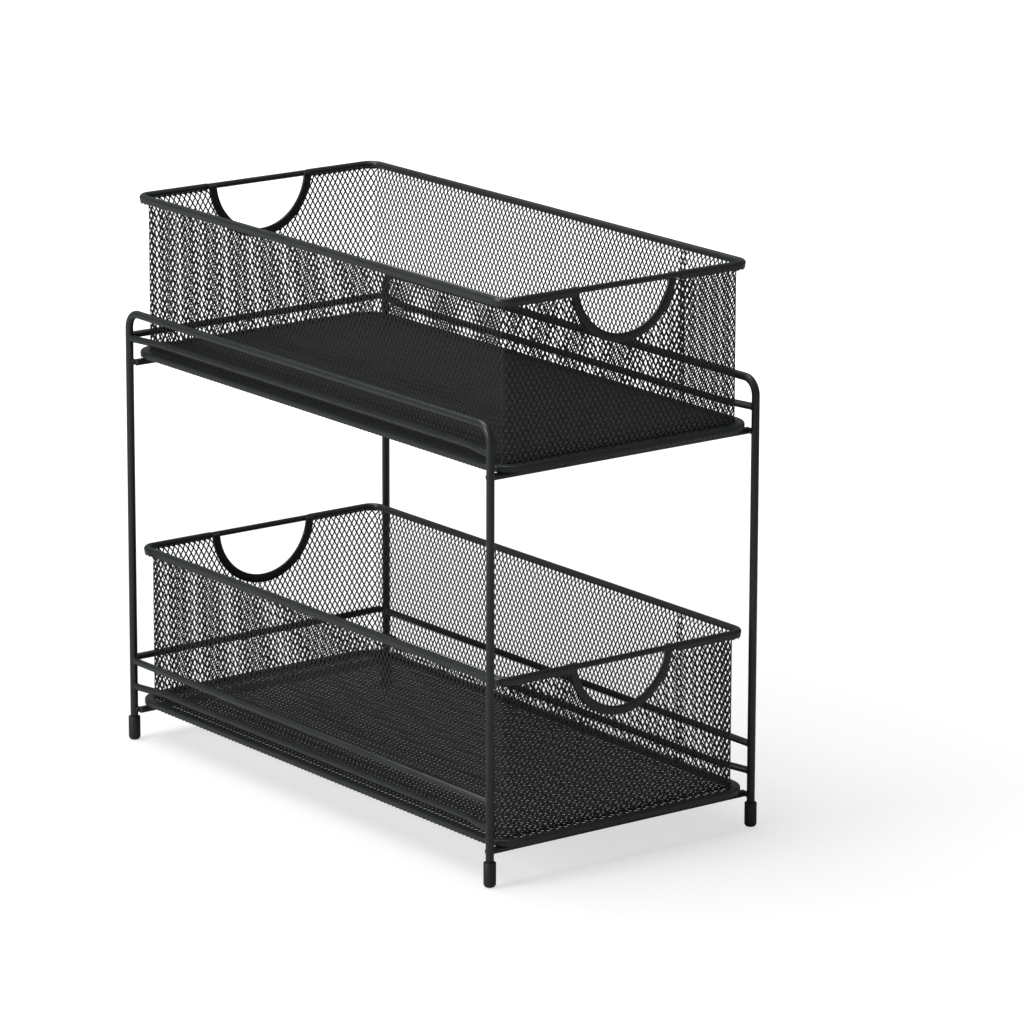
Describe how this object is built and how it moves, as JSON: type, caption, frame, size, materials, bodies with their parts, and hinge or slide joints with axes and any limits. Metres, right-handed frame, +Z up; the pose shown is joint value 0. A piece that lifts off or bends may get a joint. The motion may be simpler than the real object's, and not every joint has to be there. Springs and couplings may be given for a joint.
{
  "type": "pull-out cabinet basket",
  "caption": "Free-standing black wire stand with mesh baskets one above the other; each basket slides out forwards by a half-round cut-out below its rim.",
  "frame": {"origin": "on the floor, under the middle of the stand with both baskets closed", "axes": "+X right, +Y to the back, +Z up; the baskets pull out towards -Y"},
  "size_m": [0.2076, 0.3936, 0.3567],
  "materials": {
    "stand_wire": "satin black powder coat on round steel wire",
    "basket_wire": "satin black powder coat on round steel wire",
    "basket_mesh": "satin black powder coat on expanded steel mesh",
    "handle_trim": "smooth satin black coat on a folded steel band",
    "foot_rubber": "satin black rubber"
  },
  "bodies": {
    "stand": {"left_side_frame": "stand_wire", "right_side_frame": "stand_wire", "left_upper_guide_rail": "stand_wire", "right_upper_guide_rail": "stand_wire", "left_lower_guide_rail": "stand_wire", "right_lower_guide_rail": "stand_wire", "left_lower_side_rail": "stand_wire", "right_lower_side_rail": "stand_wire", "upper_front_crossbar": "stand_wire", "upper_rear_crossbar": "stand_wire", "upper_back_stop": "stand_wire", "lower_front_crossbar": "stand_wire", "lower_rear_crossbar": "stand_wire", "lower_back_stop": "stand_wire", "front_left_foot_cap": "foot_rubber", "front_right_foot_cap": "foot_rubber", "rear_left_foot_cap": "foot_rubber", "rear_right_foot_cap": "foot_rubber"},
    "upper_basket": {"upper_rim_wire": "basket_wire", "upper_base_wire": "basket_wire", "upper_wall_mesh": "basket_mesh", "upper_floor_mesh": "basket_mesh", "upper_front_handle_trim": "handle_trim", "upper_rear_handle_trim": "handle_trim"},
    "lower_basket": {"lower_rim_wire": "basket_wire", "lower_base_wire": "basket_wire", "lower_wall_mesh": "basket_mesh", "lower_floor_mesh": "basket_mesh", "lower_front_handle_trim": "handle_trim", "lower_rear_handle_trim": "handle_trim"}
  },
  "joints": [
    {"name": "upper_basket_slide", "type": "slide", "parent": "stand", "child": "upper_basket", "axis": [0, -1, 0], "range_m": [-0.004, 0.24]},
    {"name": "lower_basket_slide", "type": "slide", "parent": "stand", "child": "lower_basket", "axis": [0, -1, 0], "range_m": [-0.004, 0.24]}
  ]
}
